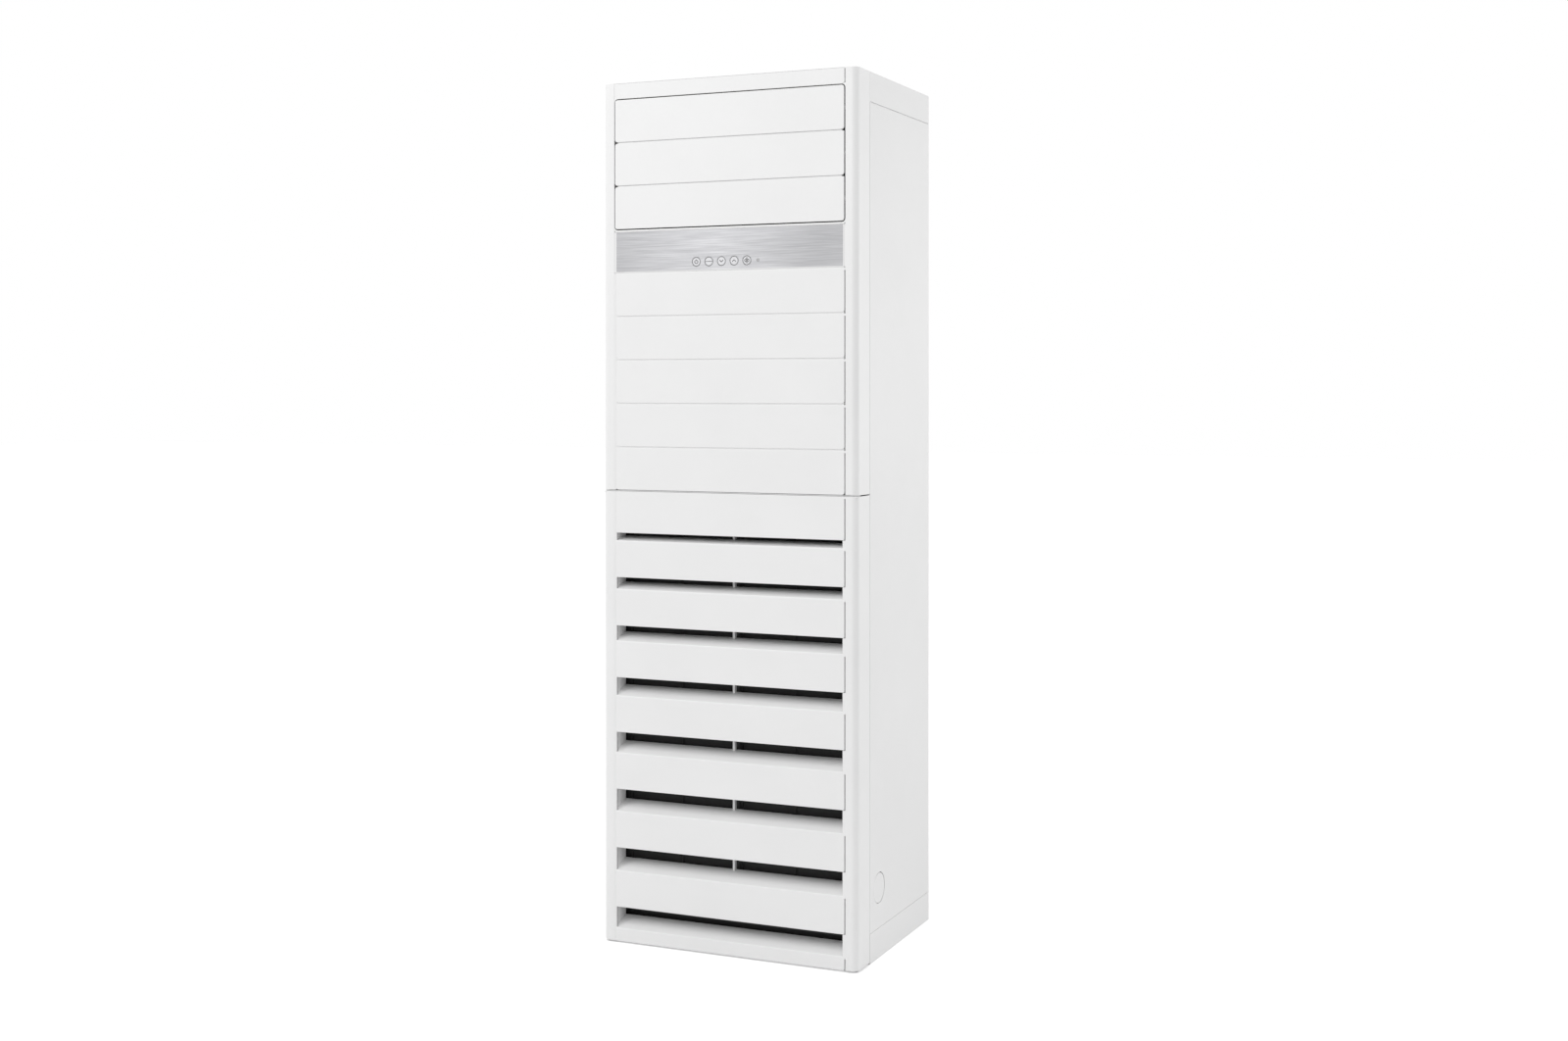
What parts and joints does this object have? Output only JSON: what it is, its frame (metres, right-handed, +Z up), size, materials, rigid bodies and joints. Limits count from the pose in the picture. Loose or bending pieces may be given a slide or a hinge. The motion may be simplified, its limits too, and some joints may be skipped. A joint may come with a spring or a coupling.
{
  "type": "floor standing air conditioner",
  "caption": "Tall white floor standing air conditioner with motor driven louvers at the top of the front, a silver control panel and a slatted lower inlet panel.",
  "frame": {"origin": "middle of the footprint on the floor", "axes": "+Z up, the front faces -Y, +X to the right seen from the front"},
  "size_m": [0.59, 0.44, 1.85],
  "materials": {
    "white_plastic": "satin moulded",
    "white_steel": "powder coated",
    "silver_panel": "brushed metallic film",
    "grey_plastic": "matte moulded",
    "black_plastic": "matte moulded",
    "lens": "clear",
    "zinc_steel": "galvanised",
    "foam": "expanded foam",
    "fin_aluminium": "finned",
    "copper": "drawn",
    "brass": "machined",
    "board": "circuit board",
    "filter_net": "woven net",
    "motor_steel": "rolled"
  },
  "bodies": {
    "cabinet": {"base_pan": "zinc_steel", "top_cover": "white_steel", "right_side_panel": "white_steel", "left_side_panel": "white_steel", "rear_panel": "white_steel", "upper_front_panel": "white_plastic", "display_panel": "silver_panel", "indicator_lens": "lens", "display_board": "board", "louver_motor": "zinc_steel", "vane_rail_bottom": "grey_plastic", "vane_rail_top": "grey_plastic", "vane_motor": "zinc_steel", "outlet_duct": "foam", "duct_front_plate": "zinc_steel", "evaporator_coil": "fin_aluminium", "coil_end_plate_right": "zinc_steel", "coil_end_plate_left": "zinc_steel", "drain_pan": "foam", "gas_pipe": "copper", "liquid_pipe": "copper", "gas_flare_nut": "brass", "liquid_flare_nut": "brass", "drain_pipe": "grey_plastic", "fan_deck": "zinc_steel", "scroll_housing": "zinc_steel", "inlet_ring": "zinc_steel", "motor_bracket": "zinc_steel", "fan_motor": "motor_steel", "filter_frame": "black_plastic", "control_box": "zinc_steel", "control_cover": "zinc_steel", "main_board": "board", "terminal_block": "black_plastic", "fan_capacitor": "white_plastic", "transformer": "motor_steel"},
    "louver_top_body": {"louver_top": "white_plastic", "louver_crank_top": "grey_plastic"},
    "louver_middle_body": {"louver_middle": "white_plastic", "louver_crank_middle": "grey_plastic"},
    "louver_bottom_body": {"louver_bottom": "white_plastic", "louver_crank_bottom": "grey_plastic"},
    "louver_link_body": {"louver_link": "grey_plastic"},
    "vane_1_body": {"vane_1": "grey_plastic"},
    "vane_2_body": {"vane_2": "grey_plastic"},
    "vane_3_body": {"vane_3": "grey_plastic"},
    "vane_4_body": {"vane_4": "grey_plastic"},
    "vane_5_body": {"vane_5": "grey_plastic"},
    "vane_6_body": {"vane_6": "grey_plastic"},
    "vane_7_body": {"vane_7": "grey_plastic"},
    "vane_link_body": {"vane_link": "black_plastic"},
    "wheel_body": {"blower_wheel": "black_plastic"},
    "grille_body": {"inlet_grille": "white_plastic"},
    "filter_right_body": {"air_filter_right": "filter_net"},
    "filter_left_body": {"air_filter_left": "filter_net"},
    "button_1_body": {"button_1": "silver_panel"},
    "button_2_body": {"button_2": "silver_panel"},
    "button_3_body": {"button_3": "silver_panel"},
    "button_4_body": {"button_4": "silver_panel"},
    "button_5_body": {"button_5": "silver_panel"}
  },
  "joints": [
    {"name": "louver_top_hinge", "type": "hinge", "parent": "cabinet", "child": "louver_top_body", "pos_m": [0, -0.209, 1.76825], "axis": [-1, 0, 0], "range_deg": [0, 75]},
    {"name": "louver_middle_hinge", "type": "hinge", "parent": "cabinet", "child": "louver_middle_body", "pos_m": [0, -0.209, 1.67475], "axis": [-1, 0, 0], "range_deg": [0, 75]},
    {"name": "louver_bottom_hinge", "type": "hinge", "parent": "cabinet", "child": "louver_bottom_body", "pos_m": [0, -0.209, 1.58125], "axis": [-1, 0, 0], "range_deg": [0, 75]},
    {"name": "louver_link_pivot", "type": "hinge", "parent": "louver_top_body", "child": "louver_link_body", "pos_m": [-0.2773, -0.189, 1.76825], "axis": [-1, 0, 0], "range_deg": [-75, 0]},
    {"name": "vane_1_hinge", "type": "hinge", "parent": "cabinet", "child": "vane_1_body", "pos_m": [-0.228, -0.115, 1.674], "axis": [0, 0, 1], "range_deg": [-30, 30]},
    {"name": "vane_2_hinge", "type": "hinge", "parent": "cabinet", "child": "vane_2_body", "pos_m": [-0.152, -0.115, 1.674], "axis": [0, 0, 1], "range_deg": [-30, 30]},
    {"name": "vane_3_hinge", "type": "hinge", "parent": "cabinet", "child": "vane_3_body", "pos_m": [-0.076, -0.115, 1.674], "axis": [0, 0, 1], "range_deg": [-30, 30]},
    {"name": "vane_4_hinge", "type": "hinge", "parent": "cabinet", "child": "vane_4_body", "pos_m": [0, -0.115, 1.674], "axis": [0, 0, 1], "range_deg": [-30, 30]},
    {"name": "vane_5_hinge", "type": "hinge", "parent": "cabinet", "child": "vane_5_body", "pos_m": [0.076, -0.115, 1.674], "axis": [0, 0, 1], "range_deg": [-30, 30]},
    {"name": "vane_6_hinge", "type": "hinge", "parent": "cabinet", "child": "vane_6_body", "pos_m": [0.152, -0.115, 1.674], "axis": [0, 0, 1], "range_deg": [-30, 30]},
    {"name": "vane_7_hinge", "type": "hinge", "parent": "cabinet", "child": "vane_7_body", "pos_m": [0.228, -0.115, 1.674], "axis": [0, 0, 1], "range_deg": [-30, 30]},
    {"name": "vane_link_pivot", "type": "hinge", "parent": "vane_1_body", "child": "vane_link_body", "pos_m": [-0.228, -0.081, 1.5628], "axis": [0, 0, 1], "range_deg": [-30, 30]},
    {"name": "wheel_spin", "type": "hinge", "parent": "cabinet", "child": "wheel_body", "pos_m": [0, 0.036, 0.33], "axis": [0, 1, 0], "continuous": true},
    {"name": "grille_tilt", "type": "hinge", "parent": "cabinet", "child": "grille_body", "pos_m": [0, -0.2105, 0.015], "axis": [1, 0, 0], "range_deg": [0, 28]},
    {"name": "filter_right_slide", "type": "slide", "parent": "cabinet", "child": "filter_right_body", "axis": [0, 0, 1], "range_m": [0, 0.012]},
    {"name": "filter_left_slide", "type": "slide", "parent": "cabinet", "child": "filter_left_body", "axis": [0, 0, 1], "range_m": [0, 0.012]},
    {"name": "button_1_press", "type": "slide", "parent": "cabinet", "child": "button_1_body", "axis": [0, 1, 0], "range_m": [0, 0.001], "stiffness_N_per_m": 600, "springref_m": -0.0005},
    {"name": "button_2_press", "type": "slide", "parent": "cabinet", "child": "button_2_body", "axis": [0, 1, 0], "range_m": [0, 0.001], "stiffness_N_per_m": 600, "springref_m": -0.0005},
    {"name": "button_3_press", "type": "slide", "parent": "cabinet", "child": "button_3_body", "axis": [0, 1, 0], "range_m": [0, 0.001], "stiffness_N_per_m": 600, "springref_m": -0.0005},
    {"name": "button_4_press", "type": "slide", "parent": "cabinet", "child": "button_4_body", "axis": [0, 1, 0], "range_m": [0, 0.001], "stiffness_N_per_m": 600, "springref_m": -0.0005},
    {"name": "button_5_press", "type": "slide", "parent": "cabinet", "child": "button_5_body", "axis": [0, 1, 0], "range_m": [0, 0.001], "stiffness_N_per_m": 600, "springref_m": -0.0005}
  ],
  "couplings": [
    {"joint": "louver_middle_hinge", "follows": "louver_top_hinge", "ratio": 1},
    {"joint": "louver_bottom_hinge", "follows": "louver_top_hinge", "ratio": 1},
    {"joint": "louver_link_pivot", "follows": "louver_top_hinge", "ratio": -1},
    {"joint": "vane_2_hinge", "follows": "vane_1_hinge", "ratio": 1},
    {"joint": "vane_3_hinge", "follows": "vane_1_hinge", "ratio": 1},
    {"joint": "vane_4_hinge", "follows": "vane_1_hinge", "ratio": 1},
    {"joint": "vane_5_hinge", "follows": "vane_1_hinge", "ratio": 1},
    {"joint": "vane_6_hinge", "follows": "vane_1_hinge", "ratio": 1},
    {"joint": "vane_7_hinge", "follows": "vane_1_hinge", "ratio": 1},
    {"joint": "vane_link_pivot", "follows": "vane_1_hinge", "ratio": -1}
  ]
}
